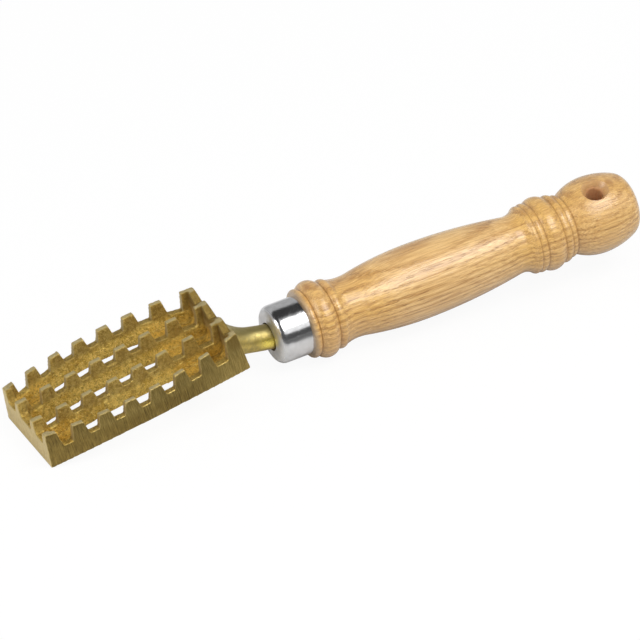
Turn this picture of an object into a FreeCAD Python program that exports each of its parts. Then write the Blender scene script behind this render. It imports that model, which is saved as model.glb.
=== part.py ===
import FreeCAD, Part

import math
import os
import re

import Sketcher
from FreeCAD import Placement, Rotation, Vector

# A fish scaler: a toothed lattice head, its shank and its tang cast in one piece of brass, a
# chromed ferrule and a turned ash handle. Millimetres. X runs along the tool, from the nose of
# the head to the butt of the handle, and Z points up, the way the teeth do. The tool rests on
# the lower edge of its nose and on the front bead of the handle; the origin is the middle of
# the space that it takes up on the surface below it.

SIZES = {
    # Toothed head, in its own frame: X along the chord of its underside, from the middle
    "row_teeth": 8,           # teeth in each of the four rows
    "tooth_pitch": 9.7,       # from tooth to tooth, for all but the last two steps
    "late_pitch": 10.4,       # the last step but one
    "last_pitch": 11.15,      # the last step, beside the rear wall
    "tip_length": 4.05,       # along a row, at the tips
    "tooth_length": 6.2,      # along a row, at the foot of the teeth
    "nose_tips": 13.0,        # height of the tips at the nose
    "rear_tips": 15.45,       # height of the tips at the rear
    "tips_sag": 0.3,          # how far the line of the tips sags in the middle
    "nose_notch": 6.15,       # height of the notch floors at the nose
    "rear_notch": 7.25,       # height of the notch floors at the rear
    "notch_rise": 2.85,       # how far the line of the notch floors rises in the middle
    "rocker": 3.3,            # how far the underside arches up in the middle
    "inner_notch_rise": 0.45, # how much higher the notch floors of the inner rows are
    "nose_lean": 1.15,        # how far the nose's face leans out, from tips to underside
    "rear_lean": 1.1,         # how far the rear face leans out
    "rear_tip": 2.7,          # from the middle of the last teeth to the rear edge of their tips
    "inner_row": 6.4,         # middle of an inner row from the centre line, at the ends
    "inner_bow": 0.75,        # how far an inner row bows out in the middle
    "outer_row": 16.65,       # middle of an outer row from the centre line, at the ends
    "outer_bow": 5.25,        # how far an outer row bows out in the middle
    "wall_foot": 3.4,         # thickness of a row at the underside, without its spread
    "outer_spread": 1.3,      # how much further an outer row's foot reaches into its channel
    "inner_spread": 0.5,      # the same for an inner row, into a side channel
    "middle_spread": 0.9,     # the same for an inner row, into the middle channel
    "wall_shoulder": 2.85,    # thickness of a row at the shoulder, where the teeth begin
    "wall_crown": 1.6,        # thickness of a row at the crown plane, above the tips
    "shoulder": 8.5,          # height of the shoulder
    "crown": 16.5,            # height of the crown plane
    "end_wall_foot": 4.2,     # from the foot of an end face to the inner face of its end wall
    "end_wall_crown": 3.3,    # the same, at the crown
    "web": 3.7,               # thickness of the floor at each end, above the underside's chord
    "web_climb": 1.6,         # how far the floor climbs towards the slots
    "floor_blend": 3.0,       # radius between the floor and an end wall
    "nose_web_middle": 3.2,   # length of the nose's floor in the middle channel
    "nose_web_side": 12.0,    # length of the nose's floor in a side channel
    "rear_web": 17.6,         # length of the rear's floor
    "nose_gap_depth": 4.6,    # depth of the gaps in the nose wall, below the tips
    "nose_gap_run": 1.0,      # run of each flank of those gaps
    "rear_gap_depth": 2.9,    # depth of the gaps in the rear wall, below the tips
    "rear_gap_floor": 0.8,    # width of the floor of those gaps
    "gap_inset": 0.3,         # from a row's side to the gap beside it, in both end walls
    "overrun": 5.0,           # how far the plans of the head are drawn past its ends
    "overcut": 1.0,           # how far a cutting shape reaches past what it cuts
    # Shank and tang
    "shank_height": 0.15,     # height of the shank's middle where it leaves the rear wall
    "shank_droop": 20.5,      # degrees down from the head's chord
    "handle_droop": 7.25,     # degrees down from the head's chord
    "shank_run": 15.8,        # from the rear wall to the corner of the bend
    "bend_radius": 38.0,      # of the shank's middle line
    "root_diameter": 9.6,     # shank at the head
    "shank_diameter": 8.9,    # shank at the ferrule
    "root_depth": 8.0,        # how far the shank reaches into the head
    "flare_seat": 2.5,        # how far the flare at the shank's root begins inside the rear wall
    "flare_length": 11.5,     # of that flare
    "flare_rise": 12.6,       # height of that flare above the shank, where it begins
    "flare_inset": 0.1,       # how far the flare's underside lies inside the shank
    "tang_depth": 62.0,       # from the ferrule's face to the tip of the tang
    "tang_start": 8.0,        # from the ferrule's face to where the tang tapers
    "tang_seat": 1.0,         # how far the tang's taper reaches back into the shank
    "tang_diameter": 7.2,     # at the start of its taper
    "tang_tip": 4.2,          # diameter at its tip
    "tang_clearance": 0.1,    # between the tang and its bore, all round
    # Ferrule
    "ferrule_diameter": 21.0,
    "ferrule_length": 12.3,
    "ferrule_wall": 0.9,
    "ferrule_round": 3.0,     # radius of its front edge
    "ferrule_hole": 10.4,     # diameter of the hole that the shank passes through
    "ferrule_fit": 0.05,      # clearance round the handle's spigot
    "ferrule_gap": 0.2,       # clearance between its front wall and the spigot's end
    "spigot_ease": 0.4,       # how much more the spigot's edge is rounded than the ferrule's inside
    # Handle: widths along the tool, radii from its axis
    "lip_width": 2.4,
    "lip_root": 11.5,
    "lip_bulge": 0.9,
    "bead_width": 7.2,
    "bead_root": 12.0,
    "bead_bulge": 1.95,
    "ring_width": 3.0,
    "ring_root": 12.1,
    "ring_bulge": 0.6,
    "front_neck_run": 5.3,    # from the ring to the narrowest place of the front neck
    "front_neck_root": 11.95,
    "front_neck": 11.04,
    "grip_front": 26.9,       # from the front neck to the thickest place of the grip
    "front_curve": 19.0,      # radius of the front neck's hollow
    "grip": 13.5,
    "grip_rear": 37.5,        # from the thickest place of the grip to the rear neck
    "rear_curve": 6.3,        # radius of the rear neck's hollow
    "rear_neck": 10.42,
    "rear_neck_run": 4.2,
    "collar_ring_root": 12.0,
    "collar_ring_width": 1.8,
    "collar_ring_bulge": 0.35,
    "collar_step_root": 12.2,
    "collar_step_width": 2.5,
    "collar_step_bulge": 0.5,
    "collar_root": 12.3,
    "collar_width": 7.0,
    "collar_bulge": 1.25,
    "cuff_root": 12.1,
    "cuff_width": 3.0,
    "cuff_bulge": 0.4,
    "cuff_end": 11.7,
    "waist_width": 2.0,
    "waist": 10.3,            # radius of the groove before the ball
    "ball_front": 11.3,       # from that groove to the thickest place of the ball
    "ball": 13.95,
    "ball_rear": 14.3,        # from the thickest place of the ball to the edge of the butt
    "butt_edge": 9.9,
    "butt_dome": 0.7,
    "butt_round": 6.0,
    "hole_diameter": 5.8,
    "hole_back": 0.0,         # from the thickest place of the ball to the hanging hole
    "hole_turn": 19.5,        # degrees from straight up, towards the near side
    "hole_round": 1.4,        # radius of its rounded mouths
    "mouth_sink": 0.45,       # how far the rim of a mouth lies below the top of the ball
}

doc = FreeCAD.newDocument("fish_scaler")
sheet = doc.addObject("Spreadsheet::Sheet", "sizes")
for row, (alias, number) in enumerate(SIZES.items(), 1):
    sheet.set(f"A{row}", alias.replace("_", " "))
    sheet.set(f"B{row}", str(number))
    sheet.setAlias(f"B{row}", alias)
doc.recompute()


def cells(formula):
    """Point each size named in a formula at its cell of the sheet."""
    return re.sub(r"[a-z][a-z_]*", lambda word: f"sizes.{word[0]}" if word[0] in SIZES else word[0], formula)


def value(formula):
    return float(sheet.evalExpression(cells(formula)))


def bind(thing, **formulas):
    for name, formula in formulas.items():
        thing.setExpression(name, cells(formula))


def origin_feature(body, role):
    return next(item for item in body.Origin.OriginFeatures if item.Role == role)


def new_sketch(body, name, plane, offset="0"):
    sketch = body.newObject("Sketcher::SketchObject", name)
    sketch.AttachmentSupport = [(origin_feature(body, plane), "")]
    sketch.MapMode = "FlatFace"
    sketch.setExpression("AttachmentOffset.Base.z", cells(offset))
    return sketch


def hold(sketch, kind, *at, formula):
    """Add a dimension and drive it by a formula."""
    number = sketch.addConstraint(Sketcher.Constraint(kind, *at, value(formula)))
    sketch.setExpression(f"Constraints[{number}]", cells(formula))


def draw(sketch, corners, closed=True):
    """Draw sides through corners (across, up) or (across, up, bulge). With a bulge, the side that
    leaves the corner is an arc that stands that far off its chord: to the left, or with a minus
    sign to the right."""
    spots = [Vector(value(corner[0]), value(corner[1]), 0) for corner in corners]
    count = len(corners) if closed else len(corners) - 1
    ends = []
    for side in range(count):
        here, there = corners[side], corners[(side + 1) % len(corners)]
        start, end = spots[side], spots[(side + 1) % len(corners)]
        if len(here) == 2:
            sketch.addGeometry(Part.LineSegment(start, end), False)
            ends.append((1, 2))
            continue
        bulge = value(here[2])
        chord = end - start
        radius = chord.Length ** 2 / 8 / abs(bulge) + abs(bulge) / 2
        left = Vector(-chord.y, chord.x, 0).normalize() * (1 if bulge > 0 else -1)
        centre = (start + end) / 2 + left * (abs(bulge) - radius)
        first, last = (end, start) if bulge > 0 else (start, end)
        angles = [math.atan2(spot.y - centre.y, spot.x - centre.x) for spot in (first, last)]
        if angles[1] < angles[0]:
            angles[1] += 2 * math.pi
        circle = Part.Circle(centre, Vector(0, 0, 1), radius)
        sketch.addGeometry(Part.ArcOfCircle(circle, *angles), False)
        ends.append((2, 1) if bulge > 0 else (1, 2))
        across = f"(({there[0]}) - ({here[0]}))"
        up = f"(({there[1]}) - ({here[1]}))"
        size = f"({here[2]})" if bulge > 0 else f"(-({here[2]}))"
        hold(sketch, "Radius", side, formula=f"({across}^2 + {up}^2) / 8 / {size} + {size} / 2")
    for side in range(count):
        hold(sketch, "DistanceX", side, ends[side][0], formula=corners[side][0])
        hold(sketch, "DistanceY", side, ends[side][0], formula=corners[side][1])
        if closed or side < count - 1:
            after = (side + 1) % count
            sketch.addConstraint(
                Sketcher.Constraint("Coincident", side, ends[side][1], after, ends[after][0]))
    if not closed:
        hold(sketch, "DistanceX", count - 1, ends[-1][1], formula=corners[-1][0])
        hold(sketch, "DistanceY", count - 1, ends[-1][1], formula=corners[-1][1])
    return sketch


QUARTER = 1 - math.sqrt(0.5)  # bulge of a quarter of a circle of radius 1


def new_body(name):
    return doc.addObject("PartDesign::Body", name)


def pad(name, plane, corners, length, offset="0", both_ways=True):
    """A body: an outline padded square to its plane."""
    body = new_body(name)
    sketch = draw(new_sketch(body, name + "_outline", plane, offset), corners)
    feature = body.newObject("PartDesign::Pad", name + "_pad")
    feature.Profile = sketch
    if both_ways:
        feature.SideType = "Symmetric"
    bind(feature, Length=length)
    return body


def spin(body, name, corners, axis="X_Axis"):
    """Turn an outline in the XZ plane about the body's X axis."""
    sketch = draw(new_sketch(body, name + "_outline", "XZ_Plane"), corners)
    feature = body.newObject("PartDesign::Revolution", name)
    feature.Profile = sketch
    feature.ReferenceAxis = (origin_feature(body, axis), [""])
    feature.Angle = 360
    return feature


def combine(kind, name, *things):
    result = doc.addObject(kind, name)
    if kind in ("Part::Cut", "Part::Common"):
        result.Base, result.Tool = things
    else:
        result.Shapes = list(things)
    return result


# ---- Toothed head ---------------------------------------------------------------------------

HEAD = (
    "(nose_lean + tip_length / 2 + (row_teeth - 3) * tooth_pitch + late_pitch + last_pitch"
    " + rear_tip + rear_lean)")
NOSE = f"(-{HEAD} / 2)"
REAR = f"({HEAD} / 2)"


def tooth(number):
    """Middle of a tooth along the head, counted from the nose."""
    teeth = int(value("row_teeth"))
    late = max(0, number - teeth + 2)
    steps = f"{number - 1 - late} * tooth_pitch" + " + late_pitch" * (late > 0) + " + last_pitch" * (late > 1)
    return f"({NOSE} + nose_lean + tip_length / 2 + {steps})"


def along(x, nose, rear):
    return f"({nose} + ({rear} - {nose}) * ({x} / {HEAD} + 0.5))"


def middle(x):
    """1 in the middle of the head, falling to 0 at its ends along a parabola."""
    return f"(1 - (2 * {x} / {HEAD})^2)"


def tip_height(x):
    return f"({along(x, 'nose_tips', 'rear_tips')} - tips_sag * {middle(x)})"


def notch_height(x):
    return f"({along(x, 'nose_notch', 'rear_notch')} + notch_rise * {middle(x)})"


def side_outline(rise):
    """The head from the side: arched underside, leaning ends and a row of teeth whose notch
    floors stand higher by rise."""
    teeth = int(value("row_teeth"))
    corners = [(NOSE, "0", "rocker"), (REAR, "0")]
    for number in range(teeth, 0, -1):
        foot, tip = [f"({tooth(number)} + {half} / 2)" for half in ("tooth_length", "tip_length")]
        if number < teeth:
            corners.append((foot, f"{notch_height(foot)} + {rise}"))
        else:
            tip = f"({tooth(number)} + rear_tip)"
        corners.append((tip, tip_height(tip)))
        foot, tip = [f"({tooth(number)} - {half} / 2)" for half in ("tooth_length", "tip_length")]
        corners.append((tip, tip_height(tip)))
        if number > 1:
            corners.append((foot, f"{notch_height(foot)} + {rise}"))
    return corners


def plan_loft(name, near, near_bow, far, far_bow, near_spread="0", far_spread="0"):
    """A body between two bowed sides, seen from above, lofted from the underside's chord through
    the shoulder to the crown. near and far are formulas of half of a row's thickness, HALF, which
    grows by a spread at the underside."""
    body = new_body(name)
    sections = []
    levels = (("0", "wall_foot", 1), ("shoulder", "wall_shoulder", 0), ("crown", "wall_crown", 0))
    for level, (height, wall, foot) in enumerate(levels):
        low = near.replace("HALF", f"({wall} / 2 + {foot} * {near_spread})")
        high = far.replace("HALF", f"({wall} / 2 + {foot} * {far_spread})")
        nose, rear = f"{NOSE} - overrun", f"{REAR} + overrun"
        corners = [
            (nose, low), (NOSE, low, near_bow), (REAR, low), (rear, low),
            (rear, high), (REAR, high, far_bow), (NOSE, high), (nose, high),
        ]
        sections.append(draw(new_sketch(body, f"{name}_level_{level + 1}", "XY_Plane", height), corners))
    loft = body.newObject("PartDesign::AdditiveLoft", name + "_loft")
    loft.Profile = sections[0]
    loft.Sections = sections[1:]
    loft.Ruled = True
    return body


def channel(name, near, near_bow, far, far_bow, spreads, nose_web):
    """The space between two rows: open on top, floored at both ends and slotted through between."""
    top = "crown + overcut"
    nose_foot, nose_crown = f"{NOSE} + end_wall_foot", f"{NOSE} + end_wall_crown"
    rear_foot, rear_crown = f"{REAR} - end_wall_foot", f"{REAR} - end_wall_crown"
    nose_slot, rear_slot = f"{nose_foot} + {nose_web}", f"{rear_foot} - rear_web"
    corners = [
        (nose_slot, "web + web_climb"), (nose_slot, "-overcut"), (rear_slot, "-overcut"),
        (rear_slot, "web + web_climb"), (f"{rear_foot} - floor_blend", "web", f"-{QUARTER} * floor_blend"),
        (rear_foot, "web + floor_blend"), (rear_crown, top), (nose_crown, top),
        (nose_foot, "web + floor_blend", f"-{QUARTER} * floor_blend"),
        (f"{nose_foot} + floor_blend", "web"),
    ]
    if value(nose_web) <= value("floor_blend"):
        corners[0] = (nose_slot, "web + floor_blend / 4")
        corners[-2:] = [(nose_foot, "web + floor_blend")]
    plan = plan_loft(name + "_plan", near, near_bow, far, far_bow, *spreads)
    depth = pad(name + "_depth", "XZ_Plane", corners, "2 * (outer_row + outer_bow + wall_foot)")
    return combine("Part::Common", name, plan, depth)


def end_gaps(name, start, height, depth, run):
    """The three gaps in an end wall between the rows, as one tool that reaches into the channels."""
    gaps = []
    edges = ("-outer_row", "-inner_row", "inner_row", "outer_row")
    for low, high in zip(edges, edges[1:]):
        left, right = f"{low} + wall_crown / 2 + gap_inset", f"{high} - wall_crown / 2 - gap_inset"
        slope = run or f"(({right}) - ({left}) - rear_gap_floor) / 2"
        corners = [
            (left, "crown + overcut"), (left, height), (f"{left} + {slope}", f"{height} - {depth}"),
            (f"{right} - {slope}", f"{height} - {depth}"), (right, height), (right, "crown + overcut"),
        ]
        run_through = "end_wall_foot + overcut"
        gaps.append(pad(f"{name}_{len(gaps) + 1}", "YZ_Plane", corners, run_through, start, both_ways=False))
    return gaps


outer_form = pad("outer_form", "XZ_Plane", side_outline("0"), "2 * (outer_row + outer_bow + wall_foot)")
inner_form = pad(
    "inner_form", "XZ_Plane", side_outline("inner_notch_rise"), "2 * (inner_row + inner_bow + wall_shoulder)")
blank = combine(
    "Part::Common", "blank", combine("Part::MultiFuse", "rows", outer_form, inner_form),
    plan_loft("plan_form", "-(outer_row + HALF)", "-outer_bow", "outer_row + HALF", "-outer_bow"),
)
channels = [
    channel("middle_channel", "-(inner_row - HALF)", "-inner_bow", "inner_row - HALF", "-inner_bow",
            ("middle_spread", "middle_spread"), "nose_web_middle"),
    channel("near_channel", "-(outer_row - HALF)", "-outer_bow", "-(inner_row + HALF)", "inner_bow",
            ("outer_spread", "inner_spread"), "nose_web_side"),
    channel("far_channel", "inner_row + HALF", "inner_bow", "outer_row - HALF", "-outer_bow",
            ("inner_spread", "outer_spread"), "nose_web_side"),
]
nose_gaps = end_gaps("nose_gap", f"{NOSE} - overcut", "nose_tips", "nose_gap_depth", "nose_gap_run")
rear_gaps = end_gaps("rear_gap", f"{REAR} - end_wall_foot", "rear_tips", "rear_gap_depth", None)

# ---- Shank and tang -------------------------------------------------------------------------

turn = value("shank_droop - handle_droop")
bend = f"(bend_radius * tan({turn / 2}))"

shank = new_body("shank")
rim = new_sketch(shank, "shank_rim", "YZ_Plane", "-root_depth")
rim.addGeometry(Part.Circle(Vector(), Vector(0, 0, 1), value("shank_diameter / 2")), False)
rim.addConstraint(Sketcher.Constraint("Coincident", 0, 3, -1, 1))
hold(rim, "Radius", 0, formula="shank_diameter / 2")
path = draw(new_sketch(shank, "shank_path", "XZ_Plane"), [
    ("-root_depth", "0"),
    (f"shank_run - {bend}", "0", f"-(bend_radius * (1 - cos({turn / 2})))"),
    (f"shank_run + {bend} * cos({turn})", f"{bend} * sin({turn})"),
    (f"shank_run + tang_start * cos({turn})", f"tang_start * sin({turn})"),
], closed=False)
pipe = shank.newObject("PartDesign::AdditivePipe", "shank_pipe")
pipe.Profile = rim
pipe.Spine = path
spin(shank, "shank_taper", [
    ("-root_depth", "0"), ("-root_depth", "root_diameter / 2"), (f"shank_run - {bend}", "shank_diameter / 2"),
    (f"shank_run - {bend}", "0"),
])

FLARE_STEPS = (0.1, 0.25, 0.45, 0.7, 1.0)
flare = new_body("flare")
circles = []
for step in FLARE_STEPS:
    # Each circle hangs from the underside of the shank, so the flare grows upwards and sideways
    growth = f"(flare_rise / 2 * {1 - math.sqrt(1 - (1 - step) ** 2)})"
    reach = f"(flare_length * {step} - flare_seat)"
    height = f"shank_height - {reach} * tan(shank_droop) + {growth}"
    radius = f"root_diameter / 2 - flare_inset + {growth}"
    circle = new_sketch(flare, f"flare_circle_{len(circles) + 1}", "YZ_Plane", f"{REAR} + {reach}")
    circle.addGeometry(Part.Circle(Vector(0, value(height), 0), Vector(0, 0, 1), value(radius)), False)
    hold(circle, "Radius", 0, formula=radius)
    hold(circle, "DistanceX", 0, 3, formula="0")
    hold(circle, "DistanceY", 0, 3, formula=height)
    circles.append(circle)
loft = flare.newObject("PartDesign::AdditiveLoft", "flare_loft")
loft.Profile = circles[0]
loft.Sections = circles[1:]

tang = new_body("tang")
spin(tang, "tang_turned", [
    ("tang_start - tang_seat", "0"), ("tang_start - tang_seat", "tang_diameter / 2"),
    ("tang_start", "tang_diameter / 2"), ("tang_depth", "tang_tip / 2"), ("tang_depth", "0"),
])

# ---- Ferrule --------------------------------------------------------------------------------

ferrule = new_body("ferrule")
outer, inner = "ferrule_diameter / 2", "ferrule_diameter / 2 - ferrule_wall"
inner_round = "(ferrule_round - ferrule_wall)"
spin(ferrule, "ferrule_turned", [
    ("0", "ferrule_hole / 2"), ("0", f"{outer} - ferrule_round", f"{QUARTER} * ferrule_round"),
    ("ferrule_round", outer), ("ferrule_length", outer), ("ferrule_length", inner),
    ("ferrule_round", inner, f"-{QUARTER} * {inner_round}"), ("ferrule_wall", f"{inner} - {inner_round}"),
    ("ferrule_wall", "ferrule_hole / 2"),
])

# ---- Handle ---------------------------------------------------------------------------------

turning = new_body("turning")


def widths(*names):
    return " + ".join(("ferrule_length",) + names)


def sagitta(radius, chord_squared):
    return f"({radius} - sqrt({radius}^2 - {chord_squared} / 4))"


def s_curve(start, low, length, high, radius, falling=False):
    """Formulas for two arcs that join a hollow to a swell, level at both ends: the place where
    they meet and the bulge of each. radius is the hollow's."""
    rise = f"(({high}) - ({low}))"
    both = f"(({length}^2 + {rise}^2) / 2 / {rise})"
    share = f"({radius} / {both})"
    chord = f"({length}^2 + {rise}^2)"
    hollow = sagitta(radius, f"({share}^2 * {chord})")
    swell = sagitta(f"({both} - {radius})", f"((1 - {share})^2 * {chord})")
    if falling:
        meet = (f"({start}) + (1 - {share}) * {length}", f"({low}) + {share} * {rise}")
        return swell, meet, hollow
    meet = (f"({start}) + {share} * {length}", f"({low}) + {share} * {rise}")
    return hollow, meet, swell


LIP = widths("lip_width")
BEAD = widths("lip_width", "bead_width")
RING = widths("lip_width", "bead_width", "ring_width")
NECK = f"{RING} + front_neck_run"
GRIP = f"{NECK} + grip_front"
REAR_NECK = f"{GRIP} + grip_rear"
COLLAR_RING = f"{REAR_NECK} + rear_neck_run"
COLLAR_STEP = f"{COLLAR_RING} + collar_ring_width"
COLLAR = f"{COLLAR_STEP} + collar_step_width"
CUFF = f"{COLLAR} + collar_width"
CUFF_END = f"{CUFF} + cuff_width"
WAIST = f"{CUFF_END} + waist_width"
BALL = f"{WAIST} + ball_front"
BUTT = f"{BALL} + ball_rear"


def level_bulge(length, drop):
    """Bulge of an arc that is level at one end and has risen or fallen by drop at the other."""
    chord = f"({length}^2 + ({drop})^2)"
    return sagitta(f"({chord} / 2 / ({drop}))", chord)


front_hollow, front_meet, front_swell = s_curve(
    NECK, "front_neck", "grip_front", "grip", "front_curve")
rear_swell, rear_meet, rear_hollow = s_curve(
    GRIP, "rear_neck", "grip_rear", "grip", "rear_curve", falling=True)
spigot = f"({inner} - ferrule_fit)"
spigot_end = "ferrule_wall + ferrule_gap"
spigot_round = f"({inner_round} + spigot_ease)"
spin(turning, "handle_turned", [
    (spigot_end, "0"),
    (spigot_end, f"{spigot} - {spigot_round}"), (f"{spigot_end} + {spigot_round}", spigot),
    ("ferrule_length", spigot), ("ferrule_length", "lip_root", "lip_bulge"),
    (LIP, "bead_root", "bead_bulge"), (BEAD, "ring_root", "ring_bulge"),
    (RING, "front_neck_root", "-" + level_bulge("front_neck_run", "front_neck_root - front_neck")),
    (NECK, "front_neck", "-" + front_hollow), (*front_meet, front_swell),
    (GRIP, "grip", rear_swell), (*rear_meet, "-" + rear_hollow),
    (REAR_NECK, "rear_neck", "-" + level_bulge("rear_neck_run", "collar_ring_root - rear_neck")),
    (COLLAR_RING, "collar_ring_root", "collar_ring_bulge"),
    (COLLAR_STEP, "collar_step_root", "collar_step_bulge"), (COLLAR, "collar_root", "collar_bulge"),
    (CUFF, "cuff_root", "cuff_bulge"), (CUFF_END, "cuff_end"),
    (WAIST, "waist", level_bulge("ball_front", "ball - waist")),
    (BALL, "ball", level_bulge("ball_rear", "ball - butt_edge")),
    (BUTT, "butt_edge", level_bulge("butt_edge", "butt_dome")), (f"{BUTT} + butt_dome", "0"),
])
doc.recompute()
butt = next(
    number for number, edge in enumerate(turning.Shape.Edges, 1)
    if not edge.Degenerated and edge.Closed and abs(edge.CenterOfMass.x - value(BUTT)) < 1e-4)
turned = turning.Tip
rounding = turning.newObject("PartDesign::Fillet", "butt_rounding")
rounding.Base = (turned, [f"Edge{butt}"])
bind(rounding, Radius="butt_round")

# The bore is open round the bent shank and fits the tang closely
bore = new_body("bore")
spin(bore, "bore_turned", [
    ("0", "0"), ("0", "ferrule_hole / 2"), ("tang_start + tang_clearance", "ferrule_hole / 2"),
    ("tang_start + tang_clearance", "tang_diameter / 2 + tang_clearance"),
    ("tang_depth", "tang_tip / 2 + tang_clearance"),
    ("tang_depth + tang_clearance", "tang_tip / 2 + tang_clearance"), ("tang_depth + tang_clearance", "0"),
])

hole = new_body("hanging_hole")
wall_end = "(ball - mouth_sink - hole_round)"
mouth = "(hole_diameter / 2 + hole_round)"
spin(hole, "hanging_hole_turned", [
    ("0", "-(ball + overcut)"), (mouth, "-(ball + overcut)"),
    (mouth, f"-({wall_end} + hole_round)", f"{QUARTER} * hole_round"), ("hole_diameter / 2", f"-{wall_end}"),
    ("hole_diameter / 2", wall_end, f"{QUARTER} * hole_round"), (mouth, f"{wall_end} + hole_round"),
    (mouth, "ball + overcut"), ("0", "ball + overcut"),
], axis="Z_Axis")

# ---- Where the pieces lie -------------------------------------------------------------------

ALONG, ACROSS = Vector(1, 0, 0), Vector(0, 1, 0)

shank.Placement = Placement(
    Vector(value(REAR), 0, value("shank_height")), Rotation(ACROSS, value("shank_droop")))
corner = shank.Placement.multVec(Vector(value("shank_run"), 0, 0))
handle_in_head = Placement(corner, Rotation(ACROSS, value("handle_droop")))
tang.Placement = handle_in_head
hole.Placement = Placement(Vector(value(f"{BALL} + hole_back"), 0, 0), Rotation(ALONG, value("hole_turn")))

casting = combine("Part::MultiFuse", "casting", blank, shank, flare, tang)
hollows = combine("Part::MultiFuse", "hollows", *channels, *nose_gaps, *rear_gaps)
head = combine("Part::Cut", "toothed_head", casting, hollows)
handle = combine("Part::Cut", "turned_handle", turning, combine("Part::MultiFuse", "bores", bore, hole))
handle.Label = "handle"
doc.recompute()

# The tool lies on the lower edge of its nose and on the front bead of its handle
nose = handle_in_head.inverse().multVec(Vector(value(NOSE), 0, 0))
bead = Vector(value(f"({LIP} + {BEAD}) / 2"), 0, -value("bead_root / 2 + ring_root / 2 + bead_bulge"))
tilt = math.degrees(math.atan2(nose.z - bead.z, bead.x - nose.x))
rest = Placement(Vector(), Rotation(ACROSS, -tilt))
pieces = {head: rest * handle_in_head.inverse(), ferrule: rest, handle: rest}
room = FreeCAD.BoundBox()
for piece, place in pieces.items():
    room.add(piece.Shape.transformed(place.toMatrix(), copy=True).optimalBoundingBox())
shift = Placement(Vector(-room.Center.x, -room.Center.y, -room.ZMin), Rotation())
for piece, place in pieces.items():
    piece.Placement = shift * place
doc.recompute()

failed = [thing.Name for thing in doc.Objects if "Invalid" in thing.State or "Error" in thing.State]
if failed:
    raise RuntimeError(f"failed: {failed}")
for piece in pieces:
    if piece.Shape.isNull() or not piece.Shape.isValid() or len(piece.Shape.Solids) != 1:
        raise RuntimeError(f"bad shape: {piece.Label}")
os.makedirs("parts", exist_ok=True)
for piece in pieces:
    piece.Shape.exportStep(f"parts/{piece.Label}.step")
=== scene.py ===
import math

import bmesh
import bpy
from mathutils import Matrix, Vector


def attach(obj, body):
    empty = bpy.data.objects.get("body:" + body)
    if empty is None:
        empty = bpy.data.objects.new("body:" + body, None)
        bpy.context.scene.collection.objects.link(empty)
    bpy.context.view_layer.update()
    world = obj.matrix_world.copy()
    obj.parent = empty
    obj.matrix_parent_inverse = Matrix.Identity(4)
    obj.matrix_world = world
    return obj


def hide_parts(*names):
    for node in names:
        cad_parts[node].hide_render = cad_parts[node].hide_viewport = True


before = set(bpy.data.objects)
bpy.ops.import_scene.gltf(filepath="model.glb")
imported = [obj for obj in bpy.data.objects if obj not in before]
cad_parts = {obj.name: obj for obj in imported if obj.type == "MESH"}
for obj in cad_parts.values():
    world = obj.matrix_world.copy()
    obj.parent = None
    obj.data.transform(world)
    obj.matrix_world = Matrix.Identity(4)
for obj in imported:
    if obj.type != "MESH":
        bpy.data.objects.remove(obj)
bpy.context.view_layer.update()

# A fish scaler: a toothed lattice head cast in brass with its shank, a chromed ferrule and a
# turned and lacquered ash handle. Lengths are in millimetres until MM multiplies them, and in the
# tool's own frames: the handle's X runs along its axis from the ferrule's face, and the head's X
# runs along its underside from the middle. Z points the way that the teeth do in both.

MM = 0.001
TOUCHING = 0.001 * MM    # points that are this close become one
HANDLE_SPOT, HANDLE_TILT = Vector((-24.341, 0, 12.688)), math.radians(-4.0286)
HEAD_SPOT, HEAD_TILT = Vector((-77.676, 0, 7.541)), math.radians(-11.2786)


def own_frame(spot, tilt):
    return Matrix.Translation(spot * MM) @ Matrix.Rotation(tilt, 4, "Y")


HANDLE, HEAD = own_frame(HANDLE_SPOT, HANDLE_TILT), own_frame(HEAD_SPOT, HEAD_TILT)


# ---- Camera ------------------------------------------------------------------------------------

def make_camera():
    """A long lens from in front, above and towards the nose, leaning to one side."""
    turn, drop, roll = (math.radians(angle) for angle in (21.165, 33.176, -8.744))
    aside, above, away = 17.45, 5.76, 2264.0
    forward = Vector((math.sin(turn) * math.cos(drop), math.cos(turn) * math.cos(drop),
                      -math.sin(drop)))
    level = forward.cross(Vector((0, 0, 1))).normalized()
    rise = level.cross(forward)
    right = math.cos(roll) * level + math.sin(roll) * rise
    up = math.cos(roll) * rise - math.sin(roll) * level
    pose = Matrix((right, up, -forward)).transposed().to_4x4()
    pose.translation = (aside * right + above * up - away * forward) * MM
    lens = bpy.data.cameras.new("camera")
    lens.sensor_width = 36
    lens.lens = 370.7
    lens.clip_end = 20
    camera = bpy.data.objects.new("camera", lens)
    camera.matrix_world = HANDLE @ pose
    bpy.context.scene.collection.objects.link(camera)
    bpy.context.scene.camera = camera


make_camera()


# ---- Node trees --------------------------------------------------------------------------------

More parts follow.
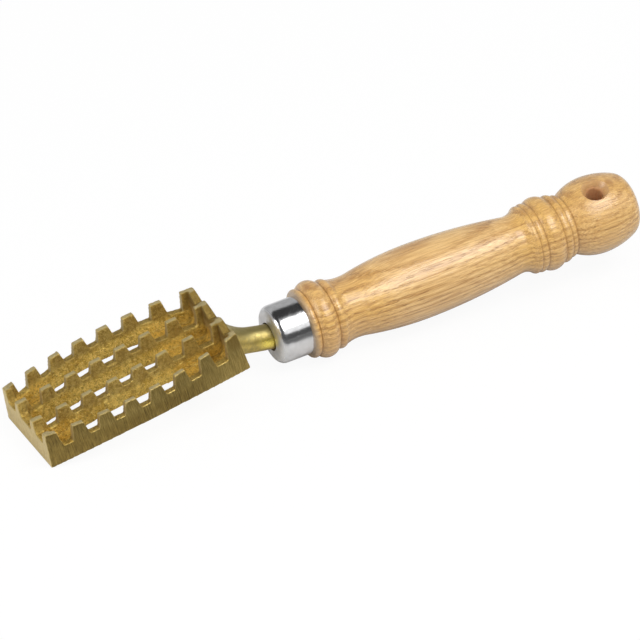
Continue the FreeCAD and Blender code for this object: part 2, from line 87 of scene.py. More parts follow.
class Tree:
    """Adds nodes to a tree. An input is given by its name or number, as a value or as the output
    of another node."""

    def __init__(self, tree):
        self.tree = tree

    def give(self, socket, given):
        if isinstance(given, bpy.types.NodeSocket):
            self.tree.links.new(given, socket)
        else:
            socket.default_value = given

    def add(self, kind, inputs=None, **settings):
        node = self.tree.nodes.new(kind)
        for name, setting in settings.items():
            setattr(node, name, setting)
        for place, given in (inputs or {}).items():
            self.give(node.inputs[place], given)
        return node

    def math(self, operation, *values, clamp=False):
        """An operation on one or two numbers, or on more of them, one after the other."""
        while len(values) > 2:
            values = (self.math(operation, *values[:2]), *values[2:])
        node = self.add("ShaderNodeMath", dict(enumerate(values)),
                        operation=operation, use_clamp=clamp)
        return node.outputs[0]

    def plus(self, *values):
        return self.math("ADD", *values)

    def minus(self, first, second):
        return self.math("SUBTRACT", first, second)

    def times(self, *values):
        return self.math("MULTIPLY", *values)

    def most(self, *values):
        return self.math("MAXIMUM", *values)

    def absolute(self, value):
        return self.math("ABSOLUTE", value)

    def long_side(self, first, second):
        """The long side of a right-angled triangle with these short sides."""
        return self.math("SQRT", self.plus(self.times(first, first), self.times(second, second)))

    def vector(self, operation, *values, output=0):
        node = self.add("ShaderNodeVectorMath", dict(enumerate(values)), operation=operation)
        return node.outputs[output]

    def parts(self, vector):
        return self.add("ShaderNodeSeparateXYZ", {0: vector}).outputs

    def joined(self, x=0.0, y=0.0, z=0.0):
        return self.add("ShaderNodeCombineXYZ", {0: x, 1: y, 2: z}).outputs[0]

    def between(self, value, low, high, start=0.0, end=1.0):
        """start up to low, end from high, and a smooth step between them."""
        node = self.add("ShaderNodeMapRange", {0: value, 1: low, 2: high, 3: start, 4: end},
                        interpolation_type="SMOOTHSTEP")
        return node.outputs[0]

    def noise(self, place, scale, detail=2.0, roughness=0.5):
        """Noise from 0 to 1, mostly near 0.5. scale is the number of lumps in a millimetre."""
        node = self.add("ShaderNodeTexNoise", {
            "Vector": place, "Scale": scale, "Detail": detail, "Roughness": roughness})
        return node.outputs[0]


class Finish(Tree):
    """A material read in one of the tool's own frames, in millimetres."""

    MIX_SOCKETS = {"amount": 0, "first": 6, "second": 7, "result": 2}

    def __init__(self, name, spot, tilt):
        self.material = bpy.data.materials.new(name)
        self.material.use_nodes = True
        super().__init__(self.material.node_tree)
        self.tree.nodes.clear()
        self.shader = self.add("ShaderNodeBsdfPrincipled")
        self.add("ShaderNodeOutputMaterial", {"Surface": self.shader.outputs[0]})
        room = self.add("ShaderNodeTexCoord").outputs["Object"]
        self.place = self.add("ShaderNodeMapping", {
            "Vector": room, "Location": spot * MM, "Rotation": (0, tilt, 0), "Scale": (MM, MM, MM),
        }, vector_type="TEXTURE").outputs[0]
        self.along, self.across, self.up = self.parts(self.place)

    def set(self, name, given):
        self.give(self.shader.inputs[name], given)

    def stretched(self, x, y, z):
        """The place with lengths multiplied, so that a pattern runs on along the smallest."""
        return self.vector("MULTIPLY", self.place, (x, y, z))

    def streaks(self, x, y, z, detail=2.0, roughness=0.5):
        """Noise with this many lumps in a millimetre each way."""
        return self.noise(self.stretched(x, y, z), 1.0, detail, roughness)

    def attribute(self, name):
        return self.add("ShaderNodeAttribute", attribute_name=name).outputs["Fac"]

    def mix(self, amount, *colours):
        first, second = ((*given, 1) if isinstance(given, tuple) else given for given in colours)
        sockets = self.MIX_SOCKETS
        node = self.add("ShaderNodeMix", {
            sockets["amount"]: amount, sockets["first"]: first, sockets["second"]: second,
        }, data_type="RGBA")
        return node.outputs[sockets["result"]]

    def painted(self, colour, *coats):
        """Paints coats (how much of it, its colour) over a colour, one after the other."""
        for amount, coat in coats:
            colour = self.mix(amount, colour, coat)
        return colour

    def ramp(self, value, *stops):
        node = self.add("ShaderNodeValToRGB", {0: value})
        for mark, (spot, colour) in zip(node.color_ramp.elements, stops):
            mark.position, mark.color = spot, (*colour, 1)
        return node.outputs[0]

    def relief(self, *heights, socket="Normal"):
        """Joins reliefs (height, depth in millimetres) into one of the shader's normals."""
        normal = None
        for height, depth in heights:
            inputs = {"Height": height, "Distance": depth * MM, "Strength": 1.0}
            if normal:
                inputs["Normal"] = normal
            normal = self.add("ShaderNodeBump", inputs).outputs[0]
        self.set(socket, normal)


# ---- Shapes ------------------------------------------------------------------------------------

class Maker(Tree):
    """A Geometry Nodes tree with named inputs, run on one object."""

    KINDS = {float: "NodeSocketFloat", int: "NodeSocketInt",
             bpy.types.Material: "NodeSocketMaterial"}

    def __init__(self, name):
        super().__init__(bpy.data.node_groups.new(name, "GeometryNodeTree"))
        for side in ("INPUT", "OUTPUT"):
            self.tree.interface.new_socket("Geometry", in_out=side,
                                           socket_type="NodeSocketGeometry")
        self.start = self.tree.nodes.new("NodeGroupInput")

    def asks(self, name, kind=float):
        self.tree.interface.new_socket(name, in_out="INPUT", socket_type=self.KINDS[kind])
        return self.start.outputs[name]

    def position(self):
        return self.add("GeometryNodeInputPosition").outputs[0]

    def normal(self):
        return self.add("GeometryNodeInputNormal").outputs[0]

    def softened(self, iterations):
        """The place of each point once it is evened out with its neighbours."""
        smooth = self.add("GeometryNodeBlurAttribute", {"Iterations": iterations},
                          data_type="FLOAT_VECTOR")
        self.give(next(item for item in smooth.inputs if item.type == "VECTOR"), self.position())
        return next(item for item in smooth.outputs if item.type == "VECTOR")

    def proudness(self, iterations):
        """How far the surface stands out from its surroundings, in millimetres; hollows are
        below 0."""
        offset = self.vector("SUBTRACT", self.position(), self.softened(iterations))
        out = self.vector("DOT_PRODUCT", offset, self.normal(), output="Value")
        return self.math("DIVIDE", out, MM)

    def stored(self, geometry, **values):
        for name, value in values.items():
            geometry = self.add("GeometryNodeStoreNamedAttribute", {
                0: geometry, "Name": name, "Value": value,
            }, data_type="FLOAT", domain="POINT").outputs[0]
        return geometry

    def moved(self, geometry, **inputs):
        return self.add("GeometryNodeSetPosition", {
            "Geometry": geometry, **{name.capitalize(): given for name, given in inputs.items()},
        }).outputs[0]

    def shaded(self, geometry, crease):
        """Smooth shading, but for edges sharper than crease, in degrees."""
        angle = self.add("GeometryNodeInputMeshEdgeAngle").outputs["Unsigned Angle"]
        sharp = self.math("GREATER_THAN", angle, math.radians(crease))
        for inputs, domain in (({"Shade Smooth": True}, "FACE"),
                               ({"Shade Smooth": False, "Selection": sharp}, "EDGE")):
            geometry = self.add("GeometryNodeSetShadeSmooth", {0: geometry, **inputs},
                                domain=domain).outputs[0]
        return geometry

    def ends(self, geometry):
        solid = self.add("GeometryNodeRealizeInstances", {0: geometry}).outputs[0]
        finished = self.add("GeometryNodeSetMaterial", {
            "Geometry": solid, "Material": self.asks("Material", bpy.types.Material)})
        self.add("NodeGroupOutput", {0: finished.outputs[0]})

    def make(self, thing, **values):
        """Run the tree on an object, and return the result as a plain mesh."""
        modifier = thing.modifiers.new(self.tree.name, "NODES")
        modifier.node_group = self.tree
        names = {item.name: item.identifier for item in self.tree.interface.items_tree
                 if item.in_out == "INPUT"}
        for name, given in values.items():
            modifier[names[name.replace("_", " ").capitalize()]] = given
        mesh = plain(thing)
        for slot in reversed(range(len(mesh.materials))):
            if mesh.materials[slot] is None:
                mesh.materials.pop(index=slot)
        return mesh


def plain(thing):
    """The object's mesh with its modifiers applied. They are removed."""
    bpy.context.view_layer.update()
    evaluated = thing.evaluated_get(bpy.context.evaluated_depsgraph_get())
    mesh = bpy.data.meshes.new_from_object(evaluated)
    thing.modifiers.clear()
    return mesh


def new_thing(name, mesh):
    thing = bpy.data.objects.new(name, mesh)
    bpy.context.scene.collection.objects.link(thing)
    return thing


# ---- Outlines of turned pieces: corners (along, radius, bulge of the run to the next) ----------

def turned_points(corners, step, closed=False):
    """Points along an outline of straight runs and arcs, no farther apart than step."""
    points = []
    ends = corners[1:] + corners[:1] if closed else corners[1:]
    for corner, end in zip(corners, ends):
        start, finish = complex(*corner[:2]), complex(*end[:2])
        bulge = corner[2] if len(corner) > 2 else 0
        half = abs(finish - start) / 2
        sweep = 4 * math.atan2(bulge, half)
        length = 2 * half if not bulge else abs(sweep) * (half ** 2 + bulge ** 2) / 2 / abs(bulge)
        count = max(1, math.ceil(length / step))
        for number in range(count):
            share = number / count
            if bulge:
                reach = math.sin(share * sweep / 2) / math.sin(sweep / 2)
                turn = (1 - share) * sweep / 2
                point = start + (finish - start) * reach * complex(math.cos(turn), math.sin(turn))
            else:
                point = start + (finish - start) * share
            points.append((point.real, point.imag))
    if not closed:
        points.append(corners[-1][:2])
    return points


def outline_thing(name, corners, step, closed=False):
    mesh = bpy.data.meshes.new(name)
    points = turned_points(corners, step, closed)
    mesh.from_pydata([(x * MM, radius * MM, 0) for x, radius in points], [], [])
    return new_thing(name, mesh)


def level_bulge(length, drop):
    """Bulge of an arc that is level at one end and has risen or fallen by drop at the other."""
    chord = math.hypot(length, drop)
    radius = chord ** 2 / 2 / drop
    return radius - math.copysign(math.sqrt(radius ** 2 - chord ** 2 / 4), drop)


def s_curve(start, low, length, high, radius):
    """A hollow that runs into a swell, level at both ends. radius is the hollow's."""
    rise = high - low
    share = radius / ((length ** 2 + rise ** 2) / 2 / rise)
    meet = (start + share * length, low + share * rise)
    hollow = -level_bulge(share * length, share * rise)
    swell = level_bulge((1 - share) * length, (1 - share) * rise)
    return (start, low, hollow), (*meet, swell)


def falling_s_curve(start, high, length, low, radius):
    """A swell that runs into a hollow, level at both ends. radius is the hollow's."""
    (_, _, hollow), (meet, meet_radius, swell) = s_curve(-start - length, low, length, high, radius)
    return (start, high, swell), (-meet, meet_radius, hollow)


def turning_maker():
    """Turns an outline, given as points (along, radius), about the X axis."""
    maker = Maker("turning")
    outline = maker.start.outputs["Geometry"]
    segments = maker.asks("Segments", int)
    closed = maker.asks("Closed", int)
    count = maker.add("GeometryNodeAttributeDomainSize", {0: outline},
                      component="MESH").outputs["Point Count"]
    rows = maker.plus(count, closed)
    last_row = maker.minus(rows, 1)
    grid = maker.add("GeometryNodeMeshGrid", {
        "Size X": last_row, "Size Y": 1.0,
        "Vertices X": rows, "Vertices Y": maker.plus(segments, 1)}).outputs[0]
    along, turn, _ = maker.parts(maker.position())
    row = maker.math("ROUND", maker.plus(along, maker.math("DIVIDE", last_row, 2)))
    row = maker.math("FLOORED_MODULO", row, count)
    taken = maker.add("GeometryNodeSampleIndex", {
        "Geometry": outline, "Value": maker.position(), "Index": row,
    }, data_type="FLOAT_VECTOR", domain="POINT").outputs[0]
    x, radius, _ = maker.parts(taken)
    angle = maker.times(turn, 2 * math.pi)
    place = maker.joined(x, maker.times(radius, maker.math("COSINE", angle)),
                         maker.times(radius, maker.math("SINE", angle)))
    turned = maker.moved(grid, position=place)
    turned = maker.add("GeometryNodeMergeByDistance", {
        "Geometry": turned, "Distance": TOUCHING}).outputs[0]
    turned = maker.add("GeometryNodeFlipFaces", {0: turned}).outputs[0]
    return maker, turned


def with_hanging_hole(maker, turned):
    """Cuts a round hole across the turning, with flared mouths."""
    back, turn = maker.asks("Hole back"), maker.asks("Hole turn")
    radius, wall_end = maker.asks("Hole radius"), maker.asks("Hole wall end")
    flare, depth = maker.asks("Mouth flare"), maker.asks("Mouth depth")
    overshoot, steps, sides, steepening = 1.6, 180, 72, 1.5
    top = maker.plus(wall_end, maker.times(depth, overshoot))
    line = maker.add("GeometryNodeCurvePrimitiveLine", {
        "Start": maker.joined(z=maker.times(top, -1)), "End": maker.joined(z=top)}).outputs[0]
    line = maker.add("GeometryNodeResampleCurve", {"Curve": line, "Count": steps + 1}).outputs[0]
    height = maker.absolute(maker.parts(maker.position())[2])
    share = maker.math("DIVIDE", maker.most(maker.minus(height, wall_end), 0.0), depth)
    width = maker.plus(radius, maker.times(flare, maker.math("POWER", share, steepening)))
    circle = maker.add("GeometryNodeCurvePrimitiveCircle", {
        "Resolution": sides, "Radius": 1.0}).outputs[0]
    cutter = maker.add("GeometryNodeCurveToMesh", {
        "Curve": line, "Profile Curve": circle, "Fill Caps": True, "Scale": width}).outputs[0]
    placed = maker.add("GeometryNodeTransform", {
        "Geometry": cutter, "Translation": maker.joined(back), "Rotation": maker.joined(turn),
    }).outputs[0]
    return maker.add("GeometryNodeMeshBoolean", {"Mesh 1": turned, "Mesh 2": placed},
                     operation="DIFFERENCE", solver="EXACT").outputs[0]


# ---- Measures that shapes and finishes share ---------------------------------------------------

SHANK_START = 37.5       # where the shank leaves the head's rear wall
BALL = 126.4             # where the handle's ball is thickest, and its hanging hole
HOLE_TURN = 19.5         # degrees from straight up, towards the near side
HOLE_RADIUS = 2.9


# ---- Finishes ----------------------------------------------------------------------------------

def brass_finish():
    """Sand-cast brass: rough and golden inside the lattice, filed outside, dull on ground tips."""
    finish = Finish("cast_brass", HEAD_SPOT, HEAD_TILT)
    between, times = finish.between, finish.times
    along, up = finish.along, finish.up
    tips, outside, nose, sawn, proud = (
        finish.attribute(name) for name in ("tips", "outside", "nose", "sawn", "proud"))
    patches = finish.noise(finish.place, 0.2, 4, 0.65)
    blotches = finish.noise(finish.place, 0.75, 3, 0.6)
    grain = finish.noise(finish.place, 1.7, 4, 0.65)
    marks = finish.streaks(3.4, 3.4, 0.16, 3, 0.6)
    facing = finish.parts(finish.add("ShaderNodeNewGeometry").outputs["Normal"])[2]

    # The skin as it was cast, with gold and dark grains, duskier towards the tips
    cast = finish.mix(between(patches, 0.35, 0.65), (0.62, 0.395, 0.068), (0.90, 0.65, 0.160))
    dusky = finish.mix(between(blotches, 0.35, 0.65), (0.42, 0.30, 0.095), (0.30, 0.20, 0.055))
    cast = finish.painted(
        cast,
        (between(blotches, 0.42, 0.7, 0, 0.75), (0.37, 0.235, 0.050)),
        (between(grain, 0.54, 0.68, 0, 0.7), (1.0, 0.80, 0.27)),
        (between(grain, 0.46, 0.34, 0, 0.7), (0.24, 0.145, 0.030)),
        (between(up, 7.0, 9.5, 0, 0.62), dusky))

    # File marks on the outer walls, fresher on the teeth and towards the rear
    filed = finish.ramp(marks, (0.3, (0.11, 0.074, 0.019)), (0.7, (0.36, 0.250, 0.068)))
    freshly_filed = finish.ramp(marks, (0.3, (0.27, 0.19, 0.052)), (0.7, (0.62, 0.46, 0.150)))
    fresh_teeth = times(between(up, 6.5, 9.5), between(along, -32, -14, 0, 0.55))
    filed = finish.mix(finish.most(fresh_teeth, between(along, 12, 32, 0, 0.7)),
                       filed, freshly_filed)
    # The nose face is filed, and painted brighter than the other walls as if lit: painted light.
    filed_nose_painted_light = finish.ramp(marks, (0.3, (0.54, 0.40, 0.150)), (0.7, (0.82, 0.655, 0.32)))

    # The shank, tumbled smooth and darker on top, with a painted highlight beside the ferrule,
    # where it is also smoother
    shank = between(along, SHANK_START, 41)
    smoothed_and_highlight = times(between(along, 46.5, 51), between(facing, 0.55, 0.2),
                   between(facing, -0.6, -0.2))
    smooth = finish.painted(
        finish.mix(between(blotches, 0.3, 0.7), (0.66, 0.50, 0.14), (0.46, 0.36, 0.12)),
        (between(facing, 0.35, 0.85, 0, 0.75), (0.34, 0.285, 0.12)),
        (smoothed_and_highlight, (1.0, 0.80, 0.16)))

    # Painted shade on the inside of the rear wall.
    rear_wall_shade = times(between(along, 32, 34.5), between(along, 38.3, 38.0),
                      between(up, 9, 11.5, 0, 0.7))
    ground = finish.ramp(blotches, (0.3, (0.38, 0.30, 0.13)), (0.7, (0.52, 0.42, 0.20)))
    finish.set("Base Color", finish.painted(
        cast,
        (times(outside, 0.92), filed),
        (nose, filed_nose_painted_light),
        (shank, smooth),
        (times(sawn, 0.8), (0.52, 0.41, 0.20)),
        (rear_wall_shade, (0.27, 0.175, 0.040)),
        (between(proud, -0.03, -0.16, 0, 0.7), (0.22, 0.125, 0.025)),   # painted shade in the corners
        (between(proud, 0.12, 0.22, 0, 0.5), (0.80, 0.62, 0.24)),       # edges worn bright, with painted glints on them
        (tips, ground)))
    dull = finish.math("MAXIMUM", tips, times(nose, 0.8), clamp=True)
    finish.set("Metallic", between(dull, 0, 1, 0.8, 0.35))
    rough = finish.minus(between(blotches, 0.3, 0.7, 0.34, 0.5), times(smoothed_and_highlight, 0.16))
    finish.set("Roughness", finish.plus(rough, times(tips, 0.12)))
    worked = finish.math("MAXIMUM", outside, shank, clamp=True)
    finish.relief((times(grain, finish.minus(1.0, worked)), 0.55),
                  (times(marks, outside), 0.16), (blotches, 0.1))
    return finish.material


def chrome_finish():
    """Polished chrome with faint smears, duller on the face that the shank comes out of."""
    finish = Finish("chrome", HANDLE_SPOT, HANDLE_TILT)
    scratches = finish.streaks(6, 0.3, 0.3, 3, 0.7)
    smears = finish.noise(finish.place, 0.35, 3, 0.5)
    clean, smeared, hollow_dark = (0.83, 0.83, 0.84), (0.74, 0.74, 0.745), (0.25, 0.23, 0.2)
    finish.set("Base Color", finish.painted(
        clean,
        (finish.between(smears, 0.3, 0.7), smeared),
        # Darker in the hollows.
        (finish.between(finish.attribute("proud"), -0.02, -0.1), hollow_dark)))
    finish.set("Metallic", 1.0)
    worn_face = finish.between(finish.along, 1.6, 0.3, 0, 0.3)
    finish.set("Roughness", finish.plus(finish.between(smears, 0.3, 0.75, 0.12, 0.2), worn_face))
    finish.relief((scratches, 0.006), (smears, 0.08))
    return finish.material


def wood_finish():
    """Ash under lacquer: rings that run along the handle, with rows of pores."""
    finish = Finish("lacquered_ash", HANDLE_SPOT, HANDLE_TILT)
    between, times, plus = finish.between, finish.times, finish.plus
    along, across, up = finish.along, finish.across, finish.up

    # Rings about the tree's heart, which lies below the handle
    ring_width, heart_across, heart_up = 2.05, -9.0, -66.0
    sway = finish.streaks(0.012, 0.05, 0.05, 2, 0.4)
    spacing = finish.streaks(0.006, 0.33, 0.33, 2, 0.5)
    to_heart = finish.long_side(finish.minus(across, heart_across), finish.minus(up, heart_up))
    to_heart = plus(to_heart, times(sway, 1.8), times(spacing, 3.0))
    ring = finish.math("FRACT", finish.math("DIVIDE", to_heart, ring_width))
    strength = between(finish.streaks(0.02, 0.22, 0.22, 2, 0.5), 0.35, 0.65, 0.35, 1.0)
    early_wood = times(between(ring, 0, 0.2), between(ring, 0.3, 0.7, 1, 0), strength)

    fibres = finish.streaks(0.07, 2.2, 2.2, 4, 0.65)
    dashes = finish.streaks(0.16, 3.6, 3.6, 1, 0.5)
    pores = times(between(dashes, 0.56, 0.66), plus(times(early_wood, 0.6), 0.15))
    shades = finish.streaks(0.02, 0.12, 0.12, 3, 0.5)
    golden = finish.streaks(0.03, 0.06, 0.06, 1, 0.5)
    ragged = plus(along, times(fibres, 14.0))
    # Painted sheen: the middle of the grip is paler.
    grip_painted_sheen = times(between(ragged, 42, 54), between(ragged, 104, 92), 0.5)
    proud = finish.attribute("proud")

    # Round the hanging hole
    lean = math.radians(HOLE_TURN)
    sideways = finish.vector("DOT_PRODUCT", finish.place, (0, math.cos(lean), math.sin(lean)),
                             output="Value")
    to_hole = finish.long_side(finish.minus(along, BALL), sideways)
    # Darker round the hole's mouth.
    darker_mouth = times(between(to_hole, 5.2, 4.4), between(fibres, 0.3, 0.6, 0.5, 0.9))

    knot = finish.vector("DISTANCE", finish.place, (132.6, -3.3, 12.8), output="Value")
    stain = finish.vector("DISTANCE", finish.place, (16.6, 0.5, 13.4), output="Value")
    finish.set("Base Color", finish.painted(
        finish.mix(between(shades, 0.3, 0.7), (0.73, 0.430, 0.130), (0.82, 0.515, 0.185)),
        (between(golden, 0.5, 0.65, 0, 0.5), (0.80, 0.48, 0.110)),
        (grip_painted_sheen, (0.84, 0.57, 0.270)),
        (times(early_wood, 0.7), (0.50, 0.245, 0.062)),
        (between(fibres, 0.42, 0.66, 0, 0.68), (0.48, 0.24, 0.074)),
        # Light fibres in the grain, partly a painted sheen.
        (between(fibres, 0.44, 0.3, 0, 0.55), (0.92, 0.66, 0.34)),
        (pores, (0.34, 0.155, 0.042)),
        (between(proud, -0.01, -0.18, 0, 0.65), (0.40, 0.20, 0.06)),      # darker in the grooves
        (darker_mouth, (0.56, 0.32, 0.135)),
        (between(to_hole, 3.5, HOLE_RADIUS, 0, 0.8), (0.72, 0.40, 0.20)),
        (between(up, -4.5, -13.0, 0, 0.4), (0.50, 0.34, 0.21)),           # painted shade on the underside
        (between(knot, 2.3, 0.9, 0, 0.8), (0.45, 0.22, 0.07)),
        (between(stain, 2.4, 0.6, 0, 0.6), (0.40, 0.17, 0.04)),
        (between(along, 14.0, 12.35, 0, 0.6), (0.40, 0.30, 0.20))))       # painted shade beside the ferrule
    finish.set("Roughness", between(fibres, 0.3, 0.7, 0.38, 0.5))
    finish.set("Coat Weight", finish.minus(1.0, times(pores, 0.5)))
    finish.set("Coat Roughness", 0.13)
    finish.relief((finish.minus(fibres, pores), 0.15), (shades, 0.4))
    finish.relief((fibres, 0.08), (shades, 0.4), socket="Coat Normal")
    return finish.material


# ---- Toothed head ------------------------------------------------------------------------------

def casting_maker():
    """Rounds the edges, roughens the skin and marks where the head is ground, filed and sawn."""
    maker = Maker("casting skin")
    between, times, most = maker.between, maker.times, maker.most
    rounding = maker.asks("Edge rounding", int)
    swell, depth = maker.asks("Swell"), maker.asks("Grain depth")
    lumps = maker.asks("Lumps in a millimetre")
    millimetres = maker.vector("MULTIPLY", maker.position(), (1 / MM,) * 3)
    along, across, up = maker.parts(millimetres)
    normal = maker.normal()
    facing_x, facing_y, facing_z = maker.parts(normal)
    skin = maker.moved(maker.start.outputs["Geometry"], position=maker.softened(rounding))
    skin = maker.stored(skin, proud=maker.proudness(8))

    # The tips' line climbs from the nose to the rear
    tip_line = maker.add("ShaderNodeMapRange", {
        0: along, 1: -38.5, 2: 38.5, 3: 12.7, 4: 15.2}).outputs[0]
    tips = times(between(maker.minus(tip_line, up), 1.1, 0.6), between(facing_z, 0.86, 0.95))

    # Side and end walls, where they face outwards
    outwards = times(facing_y, maker.math("SIGN", across))
    sides = times(between(maker.absolute(across), 13, 14), between(outwards, 0.4, 0.8))
    endwards = times(facing_x, maker.math("SIGN", along))
    ends = times(between(maker.absolute(along), 36.2, 37), between(endwards, 0.5, 0.8))
    nose = times(ends, maker.math("LESS_THAN", along, 0.0))
    outside = most(sides, times(ends, between(along, 38.8, 39.4, 1, 0)))

    # The teeth's flanks that face the nose
    sawn = times(between(up, 6.0, 8.0), between(facing_x, -0.6, -0.85),
                 between(maker.absolute(along), 36.2, 36.0))
    skin = maker.stored(skin, nose=nose, tips=tips, outside=outside, sawn=sawn)

    # Cast grain, all but smooth where the casting is worked
    worked = most(tips, outside, between(along, SHANK_START, 40, 0, 0.85),
                  between(facing_z, -0.5, -0.8))
    bumps = maker.noise(millimetres, lumps, 3, 0.6)
    sink = times(bumps, depth, between(worked, 0, 1, 1, 0.15))
    shift = maker.add("ShaderNodeVectorMath", {0: normal, "Scale": maker.minus(swell, sink)},
                      operation="SCALE").outputs[0]
    maker.ends(maker.moved(skin, offset=shift))
    return maker


def make_head(finish):
    """A finer, softened skin round the toothed head, shank and tang."""
    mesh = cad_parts["toothed_head"].data.copy()
    merged = bmesh.new()
    merged.from_mesh(mesh)
    bmesh.ops.remove_doubles(merged, verts=merged.verts, dist=TOUCHING)
    merged.to_mesh(mesh)
    merged.free()
    mesh.transform(HEAD.inverted())
    thing = new_thing("lattice_casting", mesh)
    skin = thing.modifiers.new("cast", "REMESH")
    skin.mode = "VOXEL"
    skin.voxel_size = 0.3 * MM
    skin.use_smooth_shade = True
    thing.data = plain(thing)
    thing.data.materials.clear()
    for attribute in [item for item in thing.data.attributes if item.name == "custom_normal"]:
        thing.data.attributes.remove(attribute)
    thing.data = casting_maker().make(
        thing, Edge_rounding=1, Swell=0.07 * MM, Grain_depth=0.14 * MM,
        Lumps_in_a_millimetre=0.8, Material=finish)
    fewer = thing.modifiers.new("fewer faces", "DECIMATE")
    fewer.ratio = 0.56
    thing.data = plain(thing)
    thing.data.transform(HEAD)
    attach(thing, "root")
    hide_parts("toothed_head")
    return thing


# ---- Ferrule and handle ------------------------------------------------------------------------

SEGMENTS = 160
QUARTER = 1 - math.sqrt(0.5)    # bulge of a quarter circle of radius 1


def make_ferrule(finish):
    """A cup with a rounded front edge and a hole for the shank."""
    length, outer, wall, rounding, hole = 12.3, 10.5, 0.9, 3.0, 5.2
    inner, inner_rounding = outer - wall, rounding - wall
    corners = [
        (0, hole), (0, outer - rounding, QUARTER * rounding), (rounding, outer),
        (length, outer), (length, inner), (rounding, inner, -QUARTER * inner_rounding),
        (wall, inner - inner_rounding), (wall, hole),
    ]
    thing = outline_thing("ferrule_cap", corners, 0.3, closed=True)
    maker, turned = turning_maker()
    turned = maker.stored(turned, proud=maker.proudness(6))
    maker.ends(maker.shaded(turned, 40))
    thing.data = maker.make(thing, Segments=SEGMENTS, Closed=1, Material=finish)
    thing.data.transform(HANDLE)
    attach(thing, "root")
    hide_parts("ferrule")
    return thing


def make_handle(finish):
    """Turned from its bore to its butt, its ridges softened, with a hanging hole."""
    spigot, spigot_start, spigot_rounding, spigot_end = 9.55, 1.1, 2.5, 12.3
    bore, tang_start, tang_end = 5.2, 8.1, 62.1
    grip_middle, grip = 57.1, 13.5
    corners = [
        # Tang's bore, and the spigot that the ferrule sits on
        (tang_end, 0), (tang_end, 2.2), (tang_start, 3.7), (tang_start, bore),
        (spigot_start, bore), (spigot_start, spigot - spigot_rounding, QUARTER * spigot_rounding),
        (spigot_start + spigot_rounding, spigot), (spigot_end, spigot),
        # Lip, bead and ring
        (spigot_end, 11.5, 0.9), (14.7, 11.75, 2.2), (21.9, 11.75, 0.8),
        # Grip, between its necks
        (24.9, 11.95, -level_bulge(5.3, 0.91)), *s_curve(30.2, 11.04, 26.9, grip, 19.0),
        *falling_s_curve(grip_middle, grip, 37.5, 10.42, 6.3),
        (94.6, 10.42, -level_bulge(4.2, 1.58)),
        # Collar: two rings, a bead, a cuff and a fine last ring
        (98.8, 11.8, 0.55), (100.6, 11.9, 0.7), (103.1, 11.95, 1.55), (110.1, 11.8, 0.7),
        (112.9, 11.55), (113.15, 11.2, 0.55), (115.1, 10.65),
        # Ball and butt
        (115.35, 10.48, level_bulge(11.05, 3.47)), (BALL, 13.95, 0.605), (137.57, 11.56, 0.814),
        (141.08, 6.65, 0.079), (141.4, 0),
    ]
    thing = outline_thing("ash_handle", corners, 0.45)
    maker, turned = turning_maker()
    bare_wood = maker.math("GREATER_THAN", maker.parts(maker.position())[0], 13.0 * MM)
    turned = maker.moved(turned, selection=bare_wood, position=maker.softened(1))
    drilled = with_hanging_hole(maker, turned)
    drilled = maker.stored(drilled, proud=maker.proudness(6))
    maker.ends(maker.shaded(drilled, 50))
    thing.data = maker.make(
        thing, Segments=SEGMENTS, Closed=0, Hole_back=BALL * MM,
        Hole_turn=math.radians(HOLE_TURN), Hole_radius=HOLE_RADIUS * MM, Hole_wall_end=10.3 * MM,
        Mouth_flare=2.5 * MM, Mouth_depth=3.6 * MM, Material=finish)
    thing.data.transform(HANDLE)
    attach(thing, "root")
    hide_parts("handle")
    return thing


make_head(brass_finish())
make_ferrule(chrome_finish())
make_handle(wood_finish())


# ---- Room --------------------------------------------------------------------------------------

WHITE = (1, 1, 1, 1)


def area_light(name, spot, size, power):
    """A soft light that points at the tool's middle."""
    lamp = bpy.data.lights.new(name, "AREA")
    lamp.shape = "RECTANGLE"
    lamp.size, lamp.size_y = size
    lamp.energy = power
    light = bpy.data.objects.new(name, lamp)
    light.location = spot
    light.rotation_euler = Vector(spot).to_track_quat("Z", "Y").to_euler()
    bpy.context.scene.collection.objects.link(light)


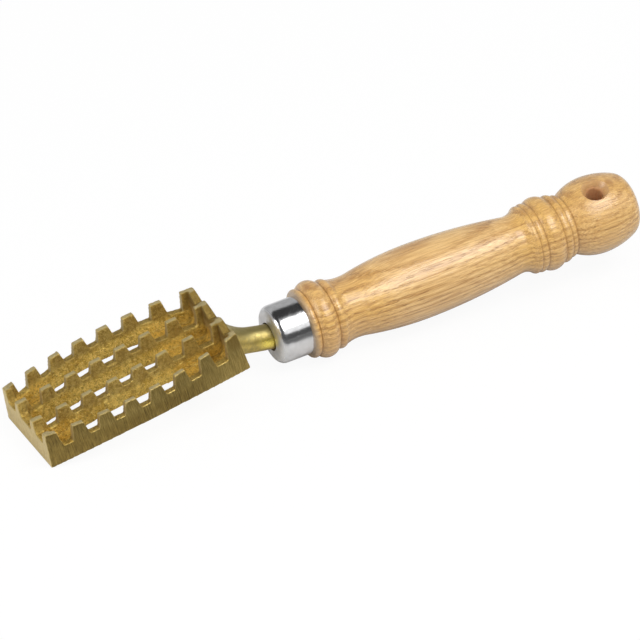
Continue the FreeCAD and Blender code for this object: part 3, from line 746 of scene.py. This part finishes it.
def make_floor():
    """Pale paper, almost white to the camera, with the tool's shadow. Polished metal sees it
    darker in front of the tool."""
    reach, sunk = 3, 0.0002
    mesh = bpy.data.meshes.new("floor")
    corners = [(x * reach, y * reach, -sunk) for x, y in ((-1, -1), (1, -1), (1, 1), (-1, 1))]
    mesh.from_pydata(corners, [], [range(4)])
    floor = new_thing("floor", mesh)
    paper = bpy.data.materials.new("paper")
    paper.use_nodes = True
    nodes = Tree(paper.node_tree)
    nodes.tree.nodes.clear()
    rays = nodes.add("ShaderNodeLightPath").outputs
    mirrored, seen = rays["Is Glossy Ray"], rays["Is Camera Ray"]
    across = nodes.parts(nodes.add("ShaderNodeTexCoord").outputs["Object"])[1]
    shade = nodes.times(mirrored, nodes.between(across, -0.070, -0.030, 0.55, 0.0))
    tone = nodes.minus(nodes.plus(0.6, nodes.times(mirrored, 0.08)), shade)
    tone = nodes.plus(tone, nodes.times(seen, 0.3))
    grey = nodes.add("ShaderNodeCombineColor", {0: tone, 1: tone, 2: tone}).outputs[0]
    matt = nodes.add("ShaderNodeBsdfDiffuse", {"Color": grey}).outputs[0]
    white = nodes.add("ShaderNodeEmission", {"Color": WHITE, "Strength": 1.0}).outputs[0]
    both = nodes.add("ShaderNodeMixShader", {0: nodes.times(seen, 0.93), 1: matt, 2: white})
    nodes.add("ShaderNodeOutputMaterial", {0: both.outputs[0]})
    mesh.materials.append(paper)


def make_world():
    """White to the camera, soft grey as light, and with dark bands for polished metal."""
    world = bpy.data.worlds.new("room")
    bpy.context.scene.world = world
    world.use_nodes = True
    nodes = Tree(world.node_tree)
    nodes.tree.nodes.clear()
    between, times, most = nodes.between, nodes.times, nodes.most
    rays = nodes.add("ShaderNodeLightPath").outputs
    x, y, z = nodes.parts(nodes.add("ShaderNodeTexCoord").outputs["Generated"])
    turn = nodes.math("DEGREES", nodes.math("ARCTAN2", z, y))    # 0 behind, 180 in front
    overhead = times(between(turn, 42, 60), between(turn, 90, 106, 1, 0))
    front = between(turn, 153, 164)
    near_left = times(between(x, -0.05, -0.2), between(x, -0.84, -0.72),
                      between(y, 0.05, -0.05, 0, 0.9))
    dark = most(overhead, front, near_left)
    back_level = between(turn, 95, 104, 0.45, 1.0)
    mirrored = times(back_level, between(dark, 0, 1, 1, 0.08))
    mirrored = most(mirrored, between(x, -0.84, -0.9))
    soft = 0.55
    strength = nodes.plus(times(rays["Is Glossy Ray"], nodes.minus(mirrored, soft)), soft)
    strength = most(strength, rays["Is Camera Ray"], rays["Is Transmission Ray"])
    background = nodes.add("ShaderNodeBackground", {"Color": WHITE, "Strength": strength})
    nodes.add("ShaderNodeOutputWorld", {0: background.outputs[0]})


area_light("key", (0.3, -0.75, 1.15), (1.3, 0.75), 13.5)
area_light("fill", (-1.15, -0.1, 0.55), (0.5, 1.0), 4.5)
make_floor()
make_world()
bpy.context.scene.view_settings.view_transform = "Standard"
